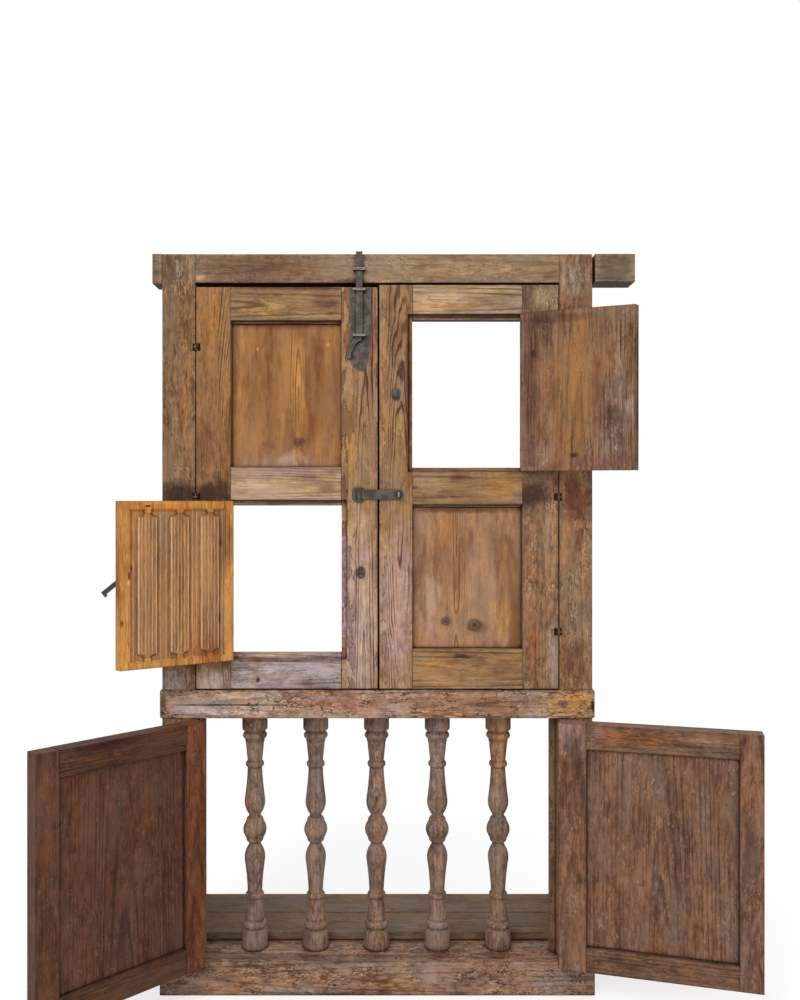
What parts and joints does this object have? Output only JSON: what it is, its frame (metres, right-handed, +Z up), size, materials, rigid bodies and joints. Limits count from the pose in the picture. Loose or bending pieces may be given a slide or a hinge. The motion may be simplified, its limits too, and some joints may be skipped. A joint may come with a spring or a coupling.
{
  "type": "trastero cabinet",
  "caption": "Tall open-backed plank cupboard with a horned door frame, panelled upper doors with small wickets, lower doors and a row of turned balusters.",
  "frame": {"origin": "on the floor, in the middle of the cabinet's width, in the front plane of its stiles", "axes": "+Z up, -Y out of the front towards someone who opens the doors, +X to that person's right"},
  "size_m": [1.6738, 0.7337, 1.8565],
  "materials": {
    "frame_wood": "worn, matt, brown-grey",
    "turned_wood": "worn, matt, dark brown",
    "door_wood": "worn pine, matt",
    "panel_wood": "honey pine, matt",
    "weathered_wood": "weathered, matt",
    "carved_wood": "honey, matt",
    "red_wood": "red-brown, matt",
    "carcase_wood": "rough sawn, matt",
    "old_iron": "forged, rusty, dark"
  },
  "bodies": {
    "frame": {"left_stile": "frame_wood", "right_stile": "frame_wood", "lintel": "frame_wood", "mid_rail": "frame_wood", "bottom_rail": "frame_wood", "stop_strips": "carcase_wood", "centre_post": "carcase_wood", "frame_eyes": "old_iron", "balusters": "turned_wood", "back_rails": "carcase_wood", "left_side_boards": "carcase_wood", "right_side_boards": "carcase_wood", "left_back_post": "carcase_wood", "right_back_post": "carcase_wood", "top_boards": "carcase_wood", "lower_floor_boards": "carcase_wood", "mid_floor_boards": "carcase_wood", "shelf_boards": "carcase_wood", "floor_cleats": "carcase_wood", "lintel_staple": "old_iron"},
    "upper_left_door": {"left_door_bottom_rail": "weathered_wood", "left_door_mid_rail": "door_wood", "left_door_top_rail": "door_wood", "left_door_hinge_stile": "door_wood", "left_door_meeting_stile": "door_wood", "left_door_panel": "panel_wood", "left_door_hinge_irons": "old_iron", "left_keeper": "old_iron", "bolt_plate": "old_iron", "bolt_staples": "old_iron", "hasp_bracket": "old_iron"},
    "upper_right_door": {"right_door_bottom_rail": "weathered_wood", "right_door_mid_rail": "door_wood", "right_door_top_rail": "door_wood", "right_door_hinge_stile": "door_wood", "right_door_meeting_stile": "door_wood", "right_door_panel": "panel_wood", "right_door_hinge_irons": "old_iron", "right_keeper": "old_iron", "hasp_eye": "old_iron"},
    "left_wicket": {"left_wicket_board": "carved_wood", "left_wicket_links": "old_iron", "left_hook_pivot": "old_iron"},
    "right_wicket": {"right_wicket_board": "red_wood", "right_wicket_links": "old_iron", "right_hook_pivot": "old_iron"},
    "left_hook": {"left_hook": "old_iron"},
    "right_hook": {"right_hook": "old_iron"},
    "bolt": {"bolt_bar": "old_iron"},
    "hasp": {"hasp": "old_iron"},
    "lower_left_door": {"lower_left_hinge_stile": "red_wood", "lower_left_free_stile": "red_wood", "lower_left_rails": "red_wood", "lower_left_panel": "red_wood", "lower_left_hinge_links": "old_iron"},
    "lower_right_door": {"lower_right_hinge_stile": "red_wood", "lower_right_free_stile": "red_wood", "lower_right_rails": "red_wood", "lower_right_panel": "red_wood", "lower_right_hinge_links": "old_iron"}
  },
  "joints": [
    {"name": "upper_left_hinge", "type": "hinge", "parent": "frame", "child": "upper_left_door", "pos_m": [-0.454, -0.0015, 1.245], "axis": [0, 0, -1], "range_deg": [0, 65]},
    {"name": "upper_right_hinge", "type": "hinge", "parent": "frame", "child": "upper_right_door", "pos_m": [0.454, -0.0015, 1.245], "axis": [0, 0, 1], "range_deg": [0, 50]},
    {"name": "left_wicket_hinge", "type": "hinge", "parent": "upper_left_door", "child": "left_wicket", "pos_m": [-0.366, -0.0015, 0.8515], "axis": [0, 0, -1], "range_deg": [-148.2, 0]},
    {"name": "right_wicket_hinge", "type": "hinge", "parent": "upper_right_door", "child": "right_wicket", "pos_m": [0.362, -0.0015, 1.319], "axis": [0, -0.0105, 0.9999], "range_deg": [-156.5, 0]},
    {"name": "left_hook_pivot", "type": "hinge", "parent": "left_wicket", "child": "left_hook", "pos_m": [-0.5958, -0.13281, 1.057], "axis": [-0.527, 0.8499, 0], "range_deg": [-50, 60]},
    {"name": "right_hook_pivot", "type": "hinge", "parent": "right_wicket", "child": "right_hook", "pos_m": [0.60346, -0.10014, 1.50157], "axis": [-0.3987, -0.9168, -0.0201], "range_deg": [-60, 110]},
    {"name": "bolt_slide", "type": "slide", "parent": "upper_left_door", "child": "bolt", "axis": [0, 0, -1], "range_m": [0, 0.095]},
    {"name": "hasp_hinge", "type": "hinge", "parent": "upper_left_door", "child": "hasp", "pos_m": [-0.046, -0.00788, 1.251], "axis": [0, 0, -1], "range_deg": [0, 170]},
    {"name": "lower_left_hinge", "type": "hinge", "parent": "frame", "child": "lower_left_door", "pos_m": [-0.454, -0.0015, 0.39], "axis": [0, 0, -1], "range_deg": [-136, 30]},
    {"name": "lower_right_hinge", "type": "hinge", "parent": "frame", "child": "lower_right_door", "pos_m": [0.454, -0.0015, 0.39], "axis": [0, 0, 1], "range_deg": [-165, 6]}
  ]
}
